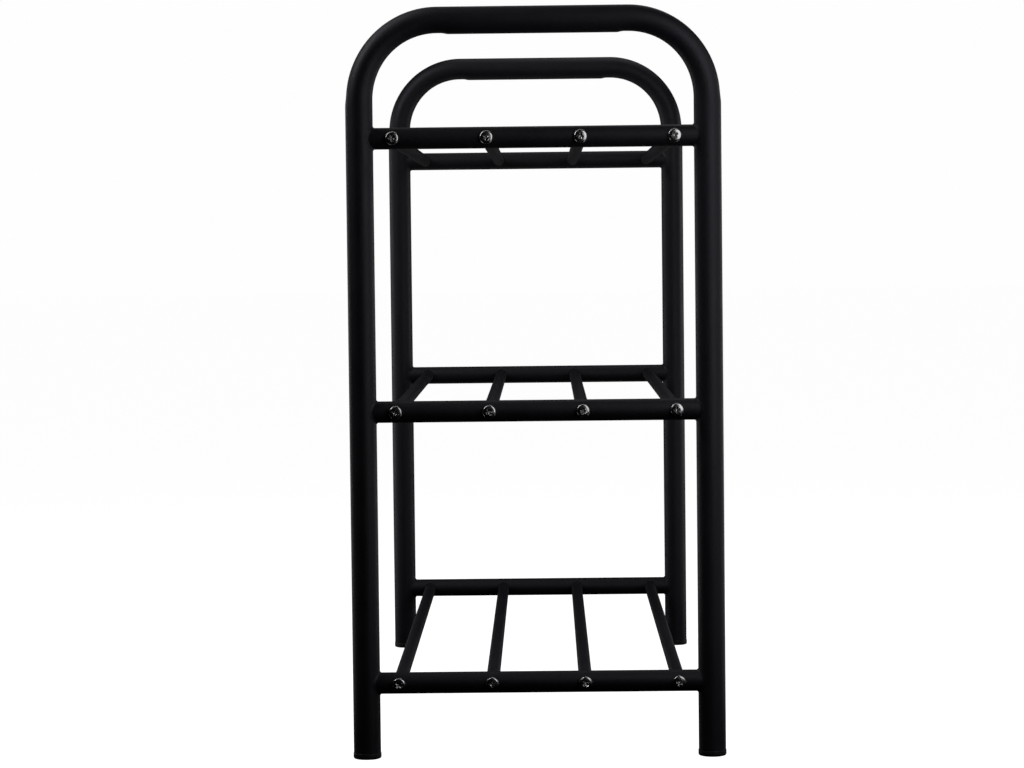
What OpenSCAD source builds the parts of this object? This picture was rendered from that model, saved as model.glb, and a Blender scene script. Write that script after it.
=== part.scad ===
// Tiered shoe rack: two hoop-shaped end frames joined by three shelves of round rungs.
// Origin on the floor at the centre of the rack. X runs along the shelves, Y from the
// front to the rear, Z up. The left end frame is at -X and the right one at +X.

/* [Rack] */
// Distance between the centre planes of the two end frames
frame_span = 565; // [350:5:900]
// Depth of an end frame, measured over its two legs
frame_depth = 260; // [245:5:320]
// Height from the floor to the top of the hoops
rack_height = 522; // [506:2:620]

/* [Hoops] */
// Outside diameter of the tube that each hoop is bent from
hoop_tube_d = 19; // [18.5:0.5:22]
// Wall thickness of every tube
tube_wall = 0.8; // [0.6:0.1:1.2]
// Centre-line radius of the two bends at the top of a hoop
bend_radius = 54.5; // [40:0.5:70]

/* [Shelves] */
// Outside diameter of a crossbar
crossbar_d = 15; // [13:0.5:16]
// Outside diameter of a rung
rung_d = 9.5; // [8:0.5:10]
// Height of the bottom shelf's centre line above the floor
bottom_shelf_z = 52.5; // [40:0.5:70]
// Height from one shelf's centre line to the next
shelf_pitch = 189.5; // [150:0.5:195]
// Distance between the centre lines of neighbouring rungs
rung_pitch = 65; // [40:1:66]
// How far a weld bead stands out from the two tubes that it joins
bead_size = 1.4; // [0.8:0.1:1.6]

/* [Fasteners] */
// Diameter of a screw's pan head
screw_head_d = 9.3; // [8:0.1:10]
// Height of a screw's pan head
screw_head_h = 3.1; // [2.6:0.1:3.4]
// Length of a screw below its head
screw_length = 16; // [12:1:25]
// Length of the threaded insert in each end of a rung
insert_length = 12; // [8:1:20]

/* [Feet] */
// Diameter of a foot cap where it shows below the leg
foot_d = 19.6; // [19:0.2:23]
// Height of the part of a foot cap that shows
foot_h = 4; // [3:0.5:8]
// Length of the ribbed plug that holds a foot cap in its leg
foot_plug_length = 14; // [8:1:25]

/* [Hidden] */
$fn = 64;
cut = 1;                        // how far a cutting solid runs past what it cuts
ENDS = ["left", "right"];
TIERS = ["bottom", "middle", "top"];
CORNERS = ["front", "rear"];
RUNGS = [1, 2, 3, 4];

// M5 screw: the hole in the tube wall, the screw's shank and the insert's bore
screw_hole_d = 5.5;
shank_d = 4.9;
insert_bore_d = 5;
rung_clearance = 0.1;           // between a rung and the hole that it sits in

// Cross recess of a screw
recess_d = 5.2;
recess_floor_d = 1.6;
recess_depth = 2.2;
recess_slot = 1.15;
head_dome_r = 6.6;

// Foot cap
foot_edge_r = 1.2;
foot_plug_wall = 1.6;
foot_rib_gap = 0.5;             // how far the plug stands off the tube between its ribs
foot_rib_h = 1;
foot_rib_pitch = 4;

black_coat = [0.03, 0.03, 0.035];
bead_coat = [0.06, 0.06, 0.07];
plated_steel = [0.78, 0.78, 0.8];
insert_steel = [0.55, 0.55, 0.58];
black_plastic = [0.05, 0.05, 0.05];

frame_x = frame_span / 2;
leg_y = (frame_depth - hoop_tube_d) / 2;
bend_y = leg_y - bend_radius;
rail_z = rack_height - hoop_tube_d / 2;
bend_z = rail_z - bend_radius;
hoop_bore_d = hoop_tube_d - 2 * tube_wall;
crossbar_bore_d = crossbar_d - 2 * tube_wall;
rung_bore_d = rung_d - 2 * tube_wall;

// A rung stops where its end meets the crossbar's bore, so the screw draws it tight.
rung_stop = sqrt(pow(crossbar_bore_d / 2, 2) - pow(rung_d / 2, 2)) - rung_clearance;
rung_end_x = frame_x + rung_stop;
screw_seat_x = frame_x + crossbar_d / 2;

foot_rib_count = floor((foot_plug_length - foot_rib_h) / foot_rib_pitch);

function end_sign(end) = end == "left" ? -1 : 1;
function corner_sign(corner) = corner == "front" ? -1 : 1;
function tier_index(tier) = search([tier], TIERS)[0];
function shelf_z(tier) = bottom_shelf_z + tier_index(tier) * shelf_pitch;
function rung_y(n) = (n - (len(RUNGS) + 1) / 2) * rung_pitch;
function recess_turn(end, tier, n) = (37 * n + 23 * tier_index(tier) + 14 * end_sign(end)) % 90;

// A round bar of the hoop's shape, from base_z up over both bends
module hoop_bar(d, base_z) {
    for (side = [0, 1]) mirror([0, side, 0]) {
        translate([0, leg_y, base_z]) cylinder(h = bend_z - base_z, d = d);
        translate([0, bend_y, bend_z]) rotate([90, 0, 90])
            rotate_extrude(angle = 90) translate([bend_radius, 0]) circle(d = d);
    }
    translate([0, -bend_y, rail_z]) rotate([-90, 0, 0]) cylinder(h = 2 * bend_y, d = d);
}

// One bent tube: two legs, two bends and the top rail
module hoop(end) {
    color(black_coat) translate([end_sign(end) * frame_x, 0, 0]) difference() {
        hoop_bar(hoop_tube_d, foot_h);
        hoop_bar(hoop_bore_d, foot_h - cut);
    }
}

// A round tube standing on z = 0
module tube(h, d, bore_d) {
    difference() {
        cylinder(h = h, d = d);
        translate([0, 0, -cut]) cylinder(h = h + 2 * cut, d = bore_d);
    }
}

// Places its children on the centre line of each leg, with +Y towards the other leg
module at_both_legs() {
    for (side = [0, 1]) mirror([0, side, 0]) translate([0, -leg_y, 0]) children();
}

// An upright length of leg at the height of a crossbar, with the seam on its outer side
module leg_length(d) {
    rotate([0, 0, -90]) cylinder(h = 2 * crossbar_d, d = d, center = true);
}

// Tube between the legs, its ends coped to fit round them. The inner wall is bored
// for the rungs and the outer wall is drilled for their screws.
module crossbar(end, tier) {
    color(black_coat) translate([end_sign(end) * frame_x, 0, shelf_z(tier)]) difference() {
        translate([0, -leg_y, 0]) rotate([-90, 0, 0]) tube(2 * leg_y, crossbar_d, crossbar_bore_d);
        at_both_legs() leg_length(hoop_tube_d);
        for (n = RUNGS) translate([0, rung_y(n), 0]) rotate([0, end_sign(end) * 90, 0]) {
            cylinder(h = crossbar_d, d = screw_hole_d);
            mirror([0, 0, 1]) cylinder(h = crossbar_d, d = rung_d + 2 * rung_clearance);
        }
    }
}

// The rings of weld round the ends of one end frame's crossbars, each as deep as
// bead_size outside both the crossbar and the leg
module weld_beads(end) {
    color(bead_coat) for (tier = TIERS)
        translate([end_sign(end) * frame_x, 0, shelf_z(tier)]) at_both_legs() intersection() {
            rotate([-90, 0, 0]) tube(hoop_tube_d, crossbar_d + 2 * bead_size, crossbar_d);
            difference() {
                leg_length(hoop_tube_d + 2 * bead_size);
                leg_length(hoop_tube_d);
            }
        }
}

// Straight tube from inside one crossbar to inside the other
module rung(tier, n) {
    color(black_coat) translate([-rung_end_x, rung_y(n), shelf_z(tier)]) rotate([0, 90, 0])
        tube(2 * rung_end_x, rung_d, rung_bore_d);
}

// Threaded steel plugs, flush with the ends of the rungs
module rung_inserts(end) {
    color(insert_steel) for (tier = TIERS, n = RUNGS)
        translate([end_sign(end) * rung_end_x, rung_y(n), shelf_z(tier)])
            rotate([0, -end_sign(end) * 90, 0]) tube(insert_length, rung_bore_d, insert_bore_d);
}

// The cutter for a cross recess, opening upwards at z = 0
module cross_recess() {
    intersection() {
        translate([0, 0, -recess_depth])
            cylinder(h = recess_depth + cut, d1 = recess_floor_d, d2 = recess_d);
        for (turn = [0, 90]) rotate([0, 0, turn]) translate([0, 0, -recess_depth / 2])
            cube([recess_d * 2, recess_slot, recess_depth * 2], center = true);
    }
}

// Pan-head screw with its head's flat underside at z = 0 and its shank below
module pan_screw(turn) {
    difference() {
        intersection() {
            cylinder(h = screw_head_h, d = screw_head_d);
            translate([0, 0, screw_head_h - head_dome_r]) sphere(r = head_dome_r);
        }
        translate([0, 0, screw_head_h]) rotate([0, 0, turn]) cross_recess();
    }
    translate([0, 0, -screw_length]) cylinder(h = screw_length, d = shank_d);
}

// The screws that hold one shelf's rungs to one end frame
module screws(end, tier) {
    color(plated_steel) for (n = RUNGS)
        translate([end_sign(end) * screw_seat_x, rung_y(n), shelf_z(tier)])
            rotate([0, end_sign(end) * 90, 0]) pan_screw(recess_turn(end, tier, n));
}

// Half outline of a foot cap: a glide with a rounded lower edge, and a ribbed hollow plug
module foot_profile() {
    glide_r = foot_d / 2;
    plug_r = hoop_bore_d / 2;
    square([glide_r - foot_edge_r, foot_h]);
    translate([0, foot_edge_r]) square([glide_r, foot_h - foot_edge_r]);
    translate([glide_r - foot_edge_r, foot_edge_r]) circle(r = foot_edge_r);
    translate([plug_r - foot_rib_gap - foot_plug_wall, foot_edge_r])
        square([foot_plug_wall, foot_h - foot_edge_r + foot_plug_length]);
    for (i = [1 : foot_rib_count]) translate([plug_r - foot_plug_wall, foot_h + i * foot_rib_pitch])
        square([foot_plug_wall, foot_rib_h]);
}

// Plastic cap pushed into the lower end of a leg
module foot(end, corner) {
    color(black_plastic) translate([end_sign(end) * frame_x, corner_sign(corner) * leg_y, 0])
        rotate_extrude() foot_profile();
}

for (end = ENDS) {
    hoop(end);
    weld_beads(end);
    rung_inserts(end);
    for (tier = TIERS) {
        crossbar(end, tier);
        screws(end, tier);
    }
    for (corner = CORNERS) {
        foot(end, corner);
    }
}
for (tier = TIERS, n = RUNGS) {
    rung(tier, n);
}
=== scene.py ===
"""The looks of a three-tier shoe rack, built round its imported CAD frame.

Row frame, in metres: X runs along the rungs, Y from the front of the rack to its rear and Z up.
The two end frames are hoops of black powder-coated tube, joined by three shelves of four rungs.
"""

import math

import bmesh
import bpy
from mathutils import Matrix, Quaternion, Vector


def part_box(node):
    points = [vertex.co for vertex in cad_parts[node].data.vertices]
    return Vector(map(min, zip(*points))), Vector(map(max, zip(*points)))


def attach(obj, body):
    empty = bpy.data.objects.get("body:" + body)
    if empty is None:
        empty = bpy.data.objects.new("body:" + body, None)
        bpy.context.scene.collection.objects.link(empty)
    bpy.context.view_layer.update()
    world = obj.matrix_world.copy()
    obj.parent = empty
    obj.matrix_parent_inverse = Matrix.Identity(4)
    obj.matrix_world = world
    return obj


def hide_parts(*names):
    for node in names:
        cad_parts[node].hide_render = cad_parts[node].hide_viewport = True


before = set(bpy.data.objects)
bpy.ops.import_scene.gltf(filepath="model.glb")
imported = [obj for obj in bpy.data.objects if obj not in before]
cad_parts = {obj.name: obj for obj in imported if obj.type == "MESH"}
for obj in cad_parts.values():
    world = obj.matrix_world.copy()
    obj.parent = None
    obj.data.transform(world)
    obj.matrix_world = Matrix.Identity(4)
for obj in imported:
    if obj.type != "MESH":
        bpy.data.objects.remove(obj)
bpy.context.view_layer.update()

MM = 0.001
ENDS = {"left": -1, "right": 1}
TIERS = ["bottom", "middle", "top"]
CORNERS = {"front": -1, "rear": 1}
RUNGS = [1, 2, 3, 4]

# Sizes that the CAD nodes' boxes don't give
TUBE_WALL = 0.8 * MM
BEND_RADIUS = 54.5 * MM
BEAD_SIZE = 1.0 * MM

# Flattening that the bending tool leaves: how far the tube's inner and outer sides come in
OUTER_LOSS = 0.70 * MM
INNER_LOSS = 0.75 * MM
SIDE_GAIN = 0.10 * MM
LIP_START = 8 * MM
LIP_END = 3 * MM
SHOULDER_START = 4 * MM
SHOULDER_END = 5 * MM


# ---------------------------------------------------------------- sizes from the CAD frame

def centre(node):
    low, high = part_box(node)
    return (low + high) / 2


def size(node):
    low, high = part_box(node)
    return high - low


HOOP_X = centre("right_hoop").x
HOOP_RADIUS = size("right_hoop").x / 2
HOOP_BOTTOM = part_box("right_hoop")[0].z
LEG_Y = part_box("right_hoop")[1].y - HOOP_RADIUS
RAIL_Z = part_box("right_hoop")[1].z - HOOP_RADIUS
BEND_Y = LEG_Y - BEND_RADIUS
BEND_Z = RAIL_Z - BEND_RADIUS
BORE_RADIUS = HOOP_RADIUS - TUBE_WALL
CROSSBAR_RADIUS = size("right_bottom_crossbar").x / 2
SCREW_SEAT_X = HOOP_X + CROSSBAR_RADIUS
SHELF_Z = {tier: centre(f"right_{tier}_crossbar").z for tier in TIERS}
SHELF_PITCH = SHELF_Z["middle"] - SHELF_Z["bottom"]
RUNG_Y = {n: centre(f"bottom_rung_{n}").y for n in RUNGS}
RUNG_PITCH = RUNG_Y[2] - RUNG_Y[1]


# ---------------------------------------------------------------- mesh helpers

def smooth_step(value, start, end):
    """0 up to start, 1 from end on, and a smooth rise between."""
    t = min(1.0, max(0.0, (value - start) / (end - start)))
    return t * t * (3 - 2 * t)


def lofted(bm, rings, wrap=False):
    """Quads between neighbouring rings of equal length; each ring is closed on itself."""
    made = [[bm.verts.new(point) for point in ring] for ring in rings]
    pairs = list(zip(made, made[1:]))
    if wrap:
        pairs.append((made[-1], made[0]))
    for lower, upper in pairs:
        count = len(lower)
        for i in range(count):
            k = (i + 1) % count
            bm.faces.new((lower[i], lower[k], upper[k], upper[i]))
    return made


def capped(bm, ring, tip):
    """A fan of triangles that closes a ring at a point."""
    apex = bm.verts.new(tip)
    count = len(ring)
    for i in range(count):
        bm.faces.new((ring[i], ring[(i + 1) % count], apex))


def turned(bm, profile, sides):
    """A solid of revolution about Z. The profile's first and last points lie on the axis."""
    rings = []
    for radius, height in profile[1:-1]:
        rings.append([
            Vector((radius * math.cos(a), radius * math.sin(a), height))
            for a in (2 * math.pi * i / sides for i in range(sides))
        ])
    made = lofted(bm, rings)
    capped(bm, made[0], (0, 0, profile[0][1]))
    capped(bm, made[-1], (0, 0, profile[-1][1]))


def arc(centre_r, centre_z, radius, start, end, steps):
    """Points of a profile's round corner, from angle start to angle end in degrees."""
    points = []
    for i in range(steps + 1):
        a = math.radians(start + (end - start) * i / steps)
        points.append((centre_r + radius * math.cos(a), centre_z + radius * math.sin(a)))
    return points


def finished_mesh(bm, name, sharp_angle=35):
    """The bmesh as a mesh with outward faces, smooth but for the edges sharper than the angle."""
    bmesh.ops.recalc_face_normals(bm, faces=bm.faces)
    mesh = bpy.data.meshes.new(name)
    bm.to_mesh(mesh)
    bm.free()
    mesh.polygons.foreach_set("use_smooth", [True] * len(mesh.polygons))
    mesh.set_sharp_from_angle(angle=math.radians(sharp_angle))
    return mesh


def add_piece(name, mesh, material, replaced):
    """Puts a piece in the scene in place of a CAD node, riding on the rack's one body."""
    piece = bpy.data.objects.new(name, mesh)
    bpy.context.scene.collection.objects.link(piece)
    mesh.materials.append(material)
    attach(piece, "root")
    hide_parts(replaced)
    return piece


def copied(bm, mesh, placement):
    """Adds a copy of the mesh to the bmesh, moved by a placement matrix."""
    before = len(bm.verts)
    bm.from_mesh(mesh)
    bm.verts.ensure_lookup_table()
    bmesh.ops.transform(bm, matrix=placement, verts=bm.verts[before:])


# ---------------------------------------------------------------- materials

class Finish:
    """A material's node tree, with short calls for the nodes that the finishes share.

    Every pattern is laid out in the row frame, so it runs on unbroken from piece to piece."""

    def __init__(self, name, **shader_values):
        self.material = bpy.data.materials.new(name)
        self.material.use_nodes = True
        self.nodes = self.material.node_tree.nodes
        self.links = self.material.node_tree.links
        self.shader = self.nodes["Principled BSDF"]
        for socket, value in shader_values.items():
            self.shader.inputs[socket.replace("_", " ")].default_value = value
        self.place = self.nodes.new("ShaderNodeTexCoord").outputs["Object"]

    def noise(self, scale, detail=2.0, roughness=0.5, stretch=None):
        """Noise of about 0 to 1; scale is in features per metre."""
        node = self.nodes.new("ShaderNodeTexNoise")
        node.inputs["Scale"].default_value = scale
        node.inputs["Detail"].default_value = detail
        node.inputs["Roughness"].default_value = roughness
        source = self.place
        if stretch:
            mapping = self.nodes.new("ShaderNodeMapping")
            mapping.inputs["Scale"].default_value = stretch
            self.links.new(source, mapping.inputs["Vector"])
            source = mapping.outputs["Vector"]
        self.links.new(source, node.inputs["Vector"])
        return node.outputs["Fac"]

    def cells(self, scale):
        """Distance to the nearest point of a scattered set, for grains."""
        node = self.nodes.new("ShaderNodeTexVoronoi")
        node.inputs["Scale"].default_value = scale
        self.links.new(self.place, node.inputs["Vector"])
        return node.outputs["Distance"]

    def maths(self, operation, *values):
        node = self.nodes.new("ShaderNodeMath")
        node.operation = operation
        for socket, value in zip(node.inputs, values):
            if isinstance(value, (int, float)):
                socket.default_value = value
            else:
                self.links.new(value, socket)
        return node.outputs["Value"]

    def spread(self, value, low, high):
        """A noise's middle part, stretched to run from low to high."""
        node = self.nodes.new("ShaderNodeMapRange")
        node.inputs["From Min"].default_value = 0.3
        node.inputs["From Max"].default_value = 0.7
        node.inputs["To Min"].default_value = low
        node.inputs["To Max"].default_value = high
        self.links.new(value, node.inputs["Value"])
        return node.outputs["Result"]

    def tint(self, value, first, second):
        """A colour that goes from first to second as the value goes from 0.3 to 0.7."""
        node = self.nodes.new("ShaderNodeValToRGB")
        node.color_ramp.elements[0].position = 0.3
        node.color_ramp.elements[0].color = (*first, 1)
        node.color_ramp.elements[1].position = 0.7
        node.color_ramp.elements[1].color = (*second, 1)
        self.links.new(value, node.inputs["Fac"])
        return node.outputs["Color"]

    def set(self, socket, source):
        self.links.new(source, self.shader.inputs[socket])

    def bump(self, *layers):
        """Stacks bumps; each layer is (height, distance in metres, strength)."""
        normal = None
        for height, distance, strength in layers:
            node = self.nodes.new("ShaderNodeBump")
            node.inputs["Distance"].default_value = distance
            node.inputs["Strength"].default_value = strength
            self.links.new(height, node.inputs["Height"])
            if normal:
                self.links.new(normal, node.inputs["Normal"])
            normal = node.outputs["Normal"]
        self.links.new(normal, self.shader.inputs["Normal"])


def powder_coat():
    """Satin black powder coat: orange peel, a finer grain, uneven gloss and a cool sheen."""
    finish = Finish("satin_black_powder_coat", Specular_Tint=(0.90, 0.86, 1.0, 1.0))
    patches = finish.noise(45, detail=3)
    peel = finish.noise(620, detail=1.5)
    grain = finish.noise(2600, detail=2, roughness=0.6)
    finish.set("Base Color", finish.tint(patches, (0.0066, 0.0062, 0.0086), (0.0092, 0.0087, 0.0118)))
    finish.set("Roughness", finish.spread(patches, 0.51, 0.59))
    finish.bump((peel, 0.12 * MM, 0.8), (grain, 0.05 * MM, 0.7))
    return finish.material


def plated_steel():
    """Bright plating over turned steel, with fine rings round each screw's axis."""
    finish = Finish("bright_plated_screw", Metallic=1.0)
    axes = finish.nodes.new("ShaderNodeSeparateXYZ")
    finish.links.new(finish.place, axes.inputs["Vector"])
    across = finish.maths("WRAP", axes.outputs["Y"], 0.0, RUNG_PITCH)
    across = finish.maths("SUBTRACT", across, RUNG_PITCH / 2)
    up = finish.maths("SUBTRACT", axes.outputs["Z"], SHELF_Z["bottom"] - SHELF_PITCH / 2)
    up = finish.maths("WRAP", up, 0.0, SHELF_PITCH)
    up = finish.maths("SUBTRACT", up, SHELF_PITCH / 2)
    across_squared = finish.maths("MULTIPLY", across, across)
    up_squared = finish.maths("MULTIPLY", up, up)
    radius = finish.maths("SQRT", finish.maths("ADD", across_squared, up_squared))
    rings = finish.maths("SINE", finish.maths("MULTIPLY", radius, 2 * math.pi / RING_SPACING))
    cloud = finish.noise(1400, detail=3)
    finish.set("Base Color", finish.tint(cloud, (0.66, 0.66, 0.675), (0.72, 0.72, 0.725)))
    finish.set("Roughness", finish.spread(cloud, 0.20, 0.27))
    finish.bump((rings, 0.002 * MM, 0.3), (cloud, 0.003 * MM, 0.3))
    return finish.material


def brushed_steel():
    """Turned steel of the threaded inserts, with fine marks along the rungs."""
    finish = Finish("turned_insert_steel", Metallic=1.0)
    marks = finish.noise(1500, detail=2, stretch=(0.08, 1, 1))
    finish.set("Base Color", finish.tint(marks, (0.42, 0.42, 0.43), (0.58, 0.58, 0.59)))
    finish.set("Roughness", finish.spread(marks, 0.32, 0.5))
    finish.bump((marks, 0.01 * MM, 0.4))
    return finish.material


def moulded_plastic():
    """Black polyethylene of the foot caps, with the fine grain of a spark-eroded mould."""
    finish = Finish("moulded_foot_plastic")
    cloud = finish.noise(120, detail=2)
    grain = finish.cells(1700)
    finish.set("Base Color", finish.tint(cloud, (0.009, 0.009, 0.010), (0.014, 0.014, 0.015)))
    finish.set("Roughness", finish.spread(cloud, 0.48, 0.58))
    finish.bump((grain, 0.02 * MM, 0.35))
    return finish.material


# ---------------------------------------------------------------- hoops

TUBE_SIDES = 56
BEND_STEPS = 30
NECK_STEP = 1 * MM
NECK = 12 * MM
LEG_STEPS = 16


def bend_loss(along):
    """How far the tube's outer side, inner side and flanks move in a bend.

    along is the length from the rail's end of the bend, towards the leg."""
    length = BEND_RADIUS * math.pi / 2
    into_leg = smooth_step(along, length - SHOULDER_START, length + SHOULDER_END)
    outer = OUTER_LOSS * smooth_step(along, 0, 0.8 * length) * (1 - into_leg)
    off_rail = smooth_step(along, -LIP_START, -LIP_END)
    inner = INNER_LOSS * off_rail * (1 - smooth_step(along, 0.25 * length, 0.95 * length))
    return outer, inner, SIDE_GAIN * off_rail * (1 - into_leg)


def hoop_stations():
    """(y, z, outward y, outward z, length past the rail's end) along half a hoop, from a leg's foot."""
    length = BEND_RADIUS * math.pi / 2
    necks = [i * NECK_STEP for i in range(1, round(NECK / NECK_STEP) + 1)]
    straight = BEND_Z - HOOP_BOTTOM
    stations = []
    for i in range(LEG_STEPS):
        z = HOOP_BOTTOM + (straight - NECK) * i / LEG_STEPS
        stations.append((LEG_Y, z, 1, 0, length + BEND_Z - z))
    for gap in reversed(necks):
        stations.append((LEG_Y, BEND_Z - gap, 1, 0, length + gap))
    for i in range(BEND_STEPS + 1):
        a = math.pi / 2 * i / BEND_STEPS
        out_y = math.cos(a)
        out_z = math.sin(a)
        y = BEND_Y + BEND_RADIUS * out_y
        z = BEND_Z + BEND_RADIUS * out_z
        stations.append((y, z, out_y, out_z, length * (1 - i / BEND_STEPS)))
    for gap in necks:
        stations.append((BEND_Y - gap, RAIL_Z, 0, 1, -gap))
    for share in (0.5, 0.0):
        stations.append(((BEND_Y - NECK) * share, RAIL_Z, 0, 1, -BEND_Y))
    return stations


def hoop_ring(x, radius, station):
    """One ring of tube: flattened on its outer and inner sides, a little fuller on its flanks."""
    y, z, out_y, out_z, along = station
    outer, inner, gain = bend_loss(along)
    ring = []
    for i in range(TUBE_SIDES):
        a = 2 * math.pi * i / TUBE_SIDES
        across = (radius + gain) * math.cos(a)
        reach = math.sin(a) * (radius - (outer if math.sin(a) > 0 else inner))
        ring.append(Vector((x + across, y + out_y * reach, z + out_z * reach)))
    return ring


def hoop_piece(end, material):
    """A bent tube with its wall and bore: up one leg, over the two bends and down the other leg."""
    x = ENDS[end] * HOOP_X
    half = hoop_stations()
    whole = [(-y, z, -out_y, out_z, along) for y, z, out_y, out_z, along in half]
    whole += list(reversed(half[:-1]))
    outside = [hoop_ring(x, HOOP_RADIUS, station) for station in whole]
    inside = [hoop_ring(x, BORE_RADIUS, station) for station in reversed(whole)]
    bm = bmesh.new()
    lofted(bm, outside + inside, wrap=True)
    mesh = finished_mesh(bm, f"{end}_hoop_tube")
    return add_piece(f"{end}_hoop_tube", mesh, material, f"{end}_hoop")


# ---------------------------------------------------------------- welds

WELD_STEPS = 120
WELD_PROFILE = 7
WELD_RIPPLES = 27
WELD_RIPPLE_SIZE = 0.10
WELD_FULLNESS = 0.75
WELD_ROOT = 0.25 * MM
WELD_SHRINK = 0.93


def weld_section(turn, ripple):
    """A weld's closed section at one angle round the crossbar.

    Its points are (distance out from the crossbar's axis, distance in from the leg's axis)."""
    bead = BEAD_SIZE * (WELD_SHRINK + WELD_RIPPLE_SIZE * ripple * 0.6)
    side = math.cos(turn)

    def leg_surface(out):
        return math.sqrt(HOOP_RADIUS ** 2 - (out * side) ** 2)

    on_bar = Vector((CROSSBAR_RADIUS, leg_surface(CROSSBAR_RADIUS) + bead))
    on_leg = Vector((CROSSBAR_RADIUS + bead, leg_surface(CROSSBAR_RADIUS + bead)))
    crease = Vector((CROSSBAR_RADIUS, leg_surface(CROSSBAR_RADIUS)))
    middle = (on_bar + on_leg) / 2
    control = crease + (middle - crease) * (WELD_FULLNESS + WELD_RIPPLE_SIZE * ripple)
    section = []
    for i in range(WELD_PROFILE):
        t = i / (WELD_PROFILE - 1)
        section.append(on_bar * (1 - t) ** 2 + control * 2 * t * (1 - t) + on_leg * t ** 2)
    section.append(on_leg - Vector((0, WELD_ROOT)))
    section.append(crease - Vector((WELD_ROOT, WELD_ROOT)))
    section.append(on_bar - Vector((WELD_ROOT, 0)))
    return section


def weld_bead(bm, x, y_sign, z):
    """A rippled ring of weld round one coped end of a crossbar."""
    rings = []
    for i in range(WELD_STEPS):
        turn = 2 * math.pi * i / WELD_STEPS
        ripple = math.sin(WELD_RIPPLES * turn + 0.8 * math.sin(3 * turn + x * 40 + z * 25 + y_sign))
        rings.append([
            Vector((x + out * math.cos(turn), y_sign * (LEG_Y - inward), z + out * math.sin(turn)))
            for out, inward in weld_section(turn, ripple)
        ])
    lofted(bm, rings, wrap=True)


def weld_piece(end, material):
    bm = bmesh.new()
    for tier in TIERS:
        for y_sign in CORNERS.values():
            weld_bead(bm, ENDS[end] * HOOP_X, y_sign, SHELF_Z[tier])
    mesh = finished_mesh(bm, f"{end}_welds", sharp_angle=60)
    return add_piece(f"{end}_welds", mesh, material, f"{end}_weld_beads")


# ---------------------------------------------------------------- screws

HEAD_RADIUS = 4.65 * MM
HEAD_HEIGHT = 3.1 * MM
HEAD_DOME = 14 * MM
HEAD_EDGE = 1.4 * MM
HEAD_UNDERCUT = 0.15 * MM
SHANK_LENGTH = 16 * MM
THREAD_CREST = 2.45 * MM
THREAD_ROOT = 2.05 * MM
THREAD_PITCH = 0.8 * MM
THREAD_STEPS = 4
RECESS_RADIUS = 2.6 * MM
RECESS_FLOOR = 0.8 * MM
RECESS_DEPTH = 2.2 * MM
RECESS_WIDTH = 1.15 * MM
RECESS_TIP = 0.35 * MM
RECESS_CORNER = 0.28 * MM
RECESS_EASE = 0.45 * MM
RECESS_RISE = 1 * MM
SCREW_SIDES = 48
SCREW_POINT = 0.6 * MM
RING_SPACING = 0.16 * MM


def screw_blank():
    """A pan-head screw with no recess: its seat at z = 0, its head above and its thread below."""
    sides = SCREW_SIDES
    turns = SHANK_LENGTH / THREAD_PITCH
    steps = round(turns * THREAD_STEPS)
    rings = []
    for k in range(steps + 1):
        z = -SHANK_LENGTH * (1 - k / steps)
        fade = smooth_step(-z, 0.2 * MM, 1.2 * MM) * smooth_step(z + SHANK_LENGTH, 0, 0.9 * MM)
        ring = []
        for i in range(sides):
            a = 2 * math.pi * i / sides
            phase = (z / THREAD_PITCH - i / sides) % 1
            crest = 1 - abs(2 * phase - 1)
            radius = THREAD_ROOT + (THREAD_CREST - THREAD_ROOT) * crest * fade
            ring.append(Vector((radius * math.cos(a), radius * math.sin(a), z)))
        rings.append(ring)
    dome_z = HEAD_HEIGHT - HEAD_DOME
    edge_z = dome_z + math.sqrt((HEAD_DOME - HEAD_EDGE) ** 2 - (HEAD_RADIUS - HEAD_EDGE) ** 2)
    edge_lean = math.degrees(math.atan2(edge_z - dome_z, HEAD_RADIUS - HEAD_EDGE))
    profile = [(HEAD_RADIUS - HEAD_UNDERCUT, 0), (HEAD_RADIUS, HEAD_UNDERCUT)]
    profile += arc(HEAD_RADIUS - HEAD_EDGE, edge_z, HEAD_EDGE, 0, edge_lean, 9)
    profile += arc(0, dome_z, HEAD_DOME, edge_lean + 1.2, 88, 10)
    for radius, height in profile:
        rings.append([
            Vector((radius * math.cos(a), radius * math.sin(a), height))
            for a in (2 * math.pi * i / sides for i in range(sides))
        ])
    bm = bmesh.new()
    made = lofted(bm, rings)
    capped(bm, made[0], (0, 0, -SHANK_LENGTH - SCREW_POINT))
    capped(bm, made[-1], (0, 0, HEAD_HEIGHT))
    bmesh.ops.recalc_face_normals(bm, faces=bm.faces)
    return bm


def recess_outline(reach, z, flare=0.0):
    """A cross with small flats in its inner corners, as a ring at height z, flared out all round."""
    half = RECESS_WIDTH / 2 + flare
    reach += flare
    corner = min(RECESS_CORNER, (reach - half) * 0.6)
    quarter = [(reach, -half), (reach, half), (half + corner, half), (half, half + corner)]
    ring = []
    for turn in range(4):
        c = (1, 0, -1, 0)[turn]
        s = (0, 1, 0, -1)[turn]
        ring += [Vector((c * px - s * py, s * px + c * py, z)) for px, py in quarter]
    return ring


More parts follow.
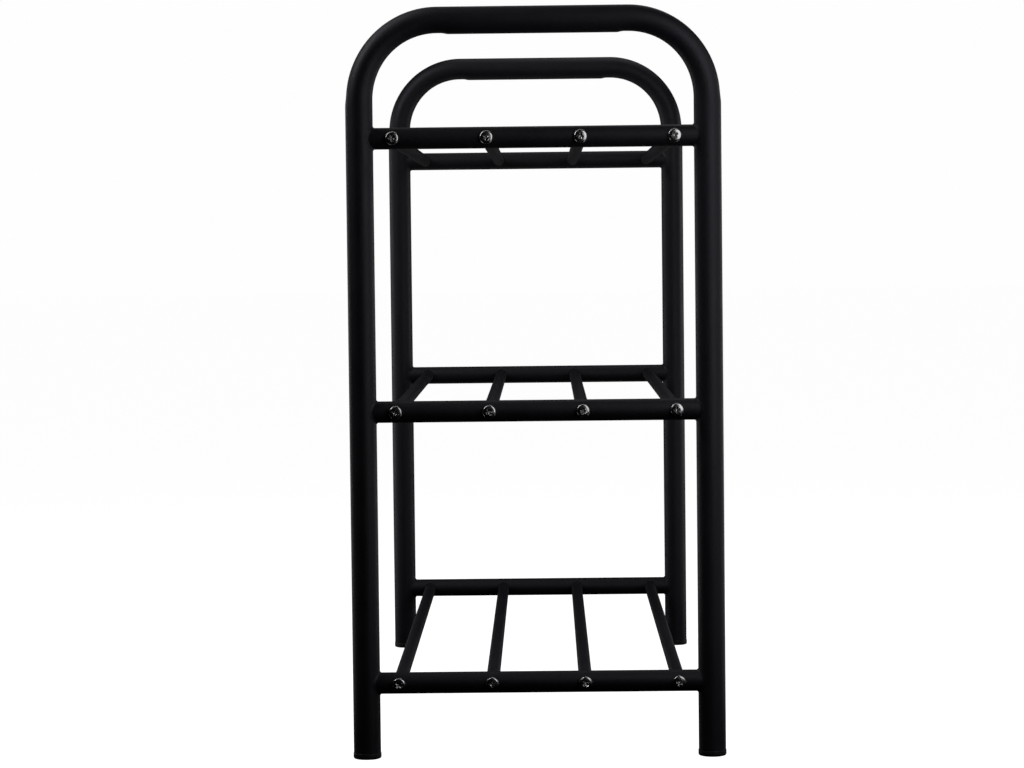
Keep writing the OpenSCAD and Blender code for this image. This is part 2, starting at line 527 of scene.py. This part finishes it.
def recess_cutter():
    """A tapered cross with a shallow point at its bottom, which opens out above its eased rim."""
    slope = (RECESS_RADIUS - RECESS_FLOOR) / RECESS_DEPTH
    bm = bmesh.new()
    made = lofted(bm, [
        recess_outline(RECESS_FLOOR, -RECESS_DEPTH),
        recess_outline(RECESS_RADIUS - slope * RECESS_EASE, -RECESS_EASE),
        recess_outline(RECESS_RADIUS - slope * RECESS_EASE, RECESS_RISE, RECESS_EASE + RECESS_RISE),
    ])
    capped(bm, made[0], (0, 0, -RECESS_DEPTH - RECESS_TIP))
    capped(bm, made[-1], (0, 0, RECESS_RISE))
    bmesh.ops.recalc_face_normals(bm, faces=bm.faces)
    return bm


def scratch_object(bm, name):
    mesh = bpy.data.meshes.new(name)
    bm.to_mesh(mesh)
    bm.free()
    scratch = bpy.data.objects.new(name, mesh)
    bpy.context.scene.collection.objects.link(scratch)
    return scratch


def screw_mesh():
    """The finished screw: the blank with its cross recess cut and the recess's rim eased."""
    blank = scratch_object(screw_blank(), "screw_blank")
    cutter = scratch_object(recess_cutter(), "recess_cutter")
    cutter.location.z = HEAD_HEIGHT
    modifier = blank.modifiers.new("recess", "BOOLEAN")
    modifier.operation = "DIFFERENCE"
    modifier.solver = "EXACT"
    modifier.object = cutter
    depsgraph = bpy.context.evaluated_depsgraph_get()
    cut = bpy.data.meshes.new_from_object(blank.evaluated_get(depsgraph))
    bpy.data.objects.remove(blank)
    bpy.data.objects.remove(cutter)
    bm = bmesh.new()
    bm.from_mesh(cut)
    bpy.data.meshes.remove(cut)
    bmesh.ops.remove_doubles(bm, verts=bm.verts, dist=0.001 * MM)
    return finished_mesh(bm, "screw")


def recess_turn(end, tier, n):
    """The angle at which a screw happens to have been driven home, in degrees."""
    return (37 * n + 23 * TIERS.index(tier) + 14 * ENDS[end]) % 90


def screws_piece(end, tier, screw, material):
    bm = bmesh.new()
    facing = Matrix.Rotation(math.radians(90 * ENDS[end]), 4, "Y")
    for n in RUNGS:
        seat = Vector((ENDS[end] * SCREW_SEAT_X, RUNG_Y[n], SHELF_Z[tier]))
        turn = Matrix.Rotation(math.radians(recess_turn(end, tier, n)), 4, "Z")
        copied(bm, screw, Matrix.Translation(seat) @ facing @ turn)
    name = f"{end}_{tier}_pan_screws"
    mesh = finished_mesh(bm, name)
    return add_piece(name, mesh, material, f"{end}_{tier}_screws")


# ---------------------------------------------------------------- feet

FOOT_EDGE = 1.2 * MM
FOOT_TOP_EDGE = 0.3 * MM
FOOT_RIM = 2.3 * MM
FOOT_DISH = 0.5 * MM
PLUG_GAP = 0.5 * MM
PLUG_WALL = 1.6 * MM
PLUG_RIB = 0.05 * MM
PLUG_RIB_PITCH = 4 * MM
PLUG_RIBS = 3
FOOT_SIDES = 72
GATE_RADIUS = 0.9 * MM


def foot_piece(end, corner, material):
    """A moulded cap: a dished glide with a gate mark below, and a hollow plug with barbs above."""
    node = f"{end}_{corner}_foot"
    low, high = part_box(node)
    radius = (high.x - low.x) / 2
    top = HOOP_BOTTOM
    plug = BORE_RADIUS - PLUG_GAP
    barb = BORE_RADIUS - PLUG_RIB
    profile = [(0, FOOT_DISH * 0.5), (GATE_RADIUS * 0.8, FOOT_DISH * 0.5), (GATE_RADIUS, FOOT_DISH)]
    profile += [(radius - FOOT_RIM - 0.6 * MM, FOOT_DISH), (radius - FOOT_RIM, 0)]
    profile += arc(radius - FOOT_EDGE, FOOT_EDGE, FOOT_EDGE, -90, 0, 8)
    profile += arc(radius - FOOT_TOP_EDGE, top - FOOT_TOP_EDGE, FOOT_TOP_EDGE, 0, 90, 4)
    profile += [(plug, top)]
    for i in range(1, PLUG_RIBS + 1):
        base = top + i * PLUG_RIB_PITCH
        profile += [(plug, base - 0.4 * MM), (barb, base), (barb, base + 0.5 * MM), (plug, base + 1 * MM)]
    profile += [(plug, high.z - 0.5 * MM), (plug - 0.5 * MM, high.z)]
    profile += [(plug - PLUG_WALL, high.z), (plug - PLUG_WALL, top - 0.6 * MM), (0, top - 0.6 * MM)]
    bm = bmesh.new()
    turned(bm, profile, FOOT_SIDES)
    bmesh.ops.translate(bm, vec=(centre(node).x, centre(node).y, 0), verts=bm.verts)
    name = f"{node}_cap"
    mesh = finished_mesh(bm, name)
    return add_piece(name, mesh, material, node)


# ---------------------------------------------------------------- stage, lights and camera

BACKDROP = 0.99
FLOOR_GLOW = 0.985
FLOOR_REACH = 40
FLOOR_GAP = 0.05 * MM


def pale_world():
    """A plain white surround that the camera sees and that gives the rack no light."""
    world = bpy.data.worlds.new("pale_surround")
    bpy.context.scene.world = world
    world.use_nodes = True
    world.node_tree.nodes["Background"].inputs["Color"].default_value = (BACKDROP, BACKDROP, BACKDROP, 1)
    world.cycles_visibility.diffuse = False
    world.cycles_visibility.glossy = False


def pale_floor():
    """A pale matt floor just under the feet, which keeps its own light off the rack."""
    bm = bmesh.new()
    reach = FLOOR_REACH / 2
    corners = [(-reach, -reach), (reach, -reach), (reach, reach), (-reach, reach)]
    bm.faces.new([bm.verts.new((x, y, -FLOOR_GAP)) for x, y in corners])
    mesh = bpy.data.meshes.new("pale_floor")
    bm.to_mesh(mesh)
    bm.free()
    floor = bpy.data.objects.new("pale_floor", mesh)
    bpy.context.scene.collection.objects.link(floor)
    finish = Finish("pale_floor", Roughness=1.0)
    cloud = finish.noise(3, detail=2)
    finish.set("Base Color", finish.tint(cloud, (0.80, 0.80, 0.80), (0.82, 0.82, 0.82)))
    finish.shader.inputs["Emission Color"].default_value = (1, 1, 1, 1)
    finish.shader.inputs["Emission Strength"].default_value = FLOOR_GLOW
    mesh.materials.append(finish.material)
    floor.visible_diffuse = False
    floor.visible_glossy = False


def soft_box(name, place, aim, width, height, power):
    """A rectangular soft box at a place, facing another, with its power in watts."""
    data = bpy.data.lights.new(name, "AREA")
    data.shape = "RECTANGLE"
    data.size = width
    data.size_y = height
    data.energy = power
    light = bpy.data.objects.new(name, data)
    light.location = place
    light.rotation_mode = "QUATERNION"
    light.rotation_quaternion = (Vector(aim) - Vector(place)).to_track_quat("-Z", "Y")
    light.visible_camera = False
    bpy.context.scene.collection.objects.link(light)


def studio_lights():
    """Soft boxes close to the rack: four for its right end, and six for its front, rear and far end."""
    soft_box("main_box", (0.60, 0.33, 0.47), (0.25, 0.05, 0.30), 0.34, 0.62, 0.72)
    soft_box("rear_box", (0.24, 0.52, 0.40), (0.10, 0.05, 0.30), 0.30, 0.72, 0.24)
    soft_box("front_high_box", (0.30, -0.69, 0.90), (0.05, 0.00, 0.30), 0.30, 0.50, 1.70)
    soft_box("top_box", (0.15, -0.33, 0.95), (0.00, 0.00, 0.30), 0.60, 0.35, 0.42)
    soft_box("far_front_box", (-0.48, -0.78, 0.30), (-0.10, 0.00, 0.25), 0.50, 0.60, 1.10)
    soft_box("far_rear_box", (-0.48, 0.78, 0.30), (-0.10, 0.00, 0.25), 0.50, 0.60, 1.10)
    soft_box("far_top_box", (-0.35, 0.10, 0.95), (-0.05, 0.00, 0.30), 0.50, 0.50, 0.50)
    soft_box("front_low_box", (-0.10, -0.50, 0.01), (-0.10, -0.50, 1.00), 0.80, 0.45, 0.38)
    soft_box("rear_low_box", (-0.10, 0.50, 0.01), (-0.10, 0.50, 1.00), 0.80, 0.45, 0.38)
    soft_box("far_low_box", (-0.65, 0.00, 0.01), (-0.65, 0.00, 1.00), 0.40, 0.80, 0.25)


CAMERA_FROM_FRAME = 2.0206
CAMERA_Y = 0.0067
CAMERA_Z = 0.3574
AIM = Vector((0, -0.0199, 0.2471))
CAMERA_ROLL = -0.64
CAMERA_LENS = 102.4


def photo_camera():
    """Looks along the rungs from beyond the right end frame, a little above the middle shelf."""
    data = bpy.data.cameras.new("camera")
    data.sensor_width = 36
    data.lens = CAMERA_LENS
    data.clip_start = 0.05
    data.clip_end = 100
    camera = bpy.data.objects.new("camera", data)
    camera.location = (HOOP_X + CAMERA_FROM_FRAME, CAMERA_Y, CAMERA_Z)
    level = (AIM - camera.location).to_track_quat("-Z", "Y")
    camera.rotation_mode = "QUATERNION"
    camera.rotation_quaternion = level @ Quaternion((0, 0, 1), math.radians(CAMERA_ROLL))
    bpy.context.scene.collection.objects.link(camera)
    bpy.context.scene.camera = camera


# ---------------------------------------------------------------- the rack

def paint(node, material):
    """Gives a CAD node, whose shape stays as it is, its detailed material."""
    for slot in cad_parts[node].material_slots:
        slot.material = material


def build_rack():
    coat = powder_coat()
    plating = plated_steel()
    steel = brushed_steel()
    plastic = moulded_plastic()
    screw = screw_mesh()
    for end in ENDS:
        hoop_piece(end, coat)
        weld_piece(end, coat)
        paint(f"{end}_rung_inserts", steel)
        for tier in TIERS:
            paint(f"{end}_{tier}_crossbar", coat)
            screws_piece(end, tier, screw, plating)
        for corner in CORNERS:
            foot_piece(end, corner, plastic)
    for tier in TIERS:
        for n in RUNGS:
            paint(f"{tier}_rung_{n}", coat)
    bpy.data.meshes.remove(screw)


bpy.context.scene.view_settings.view_transform = "Standard"
photo_camera()
build_rack()
pale_world()
pale_floor()
studio_lights()
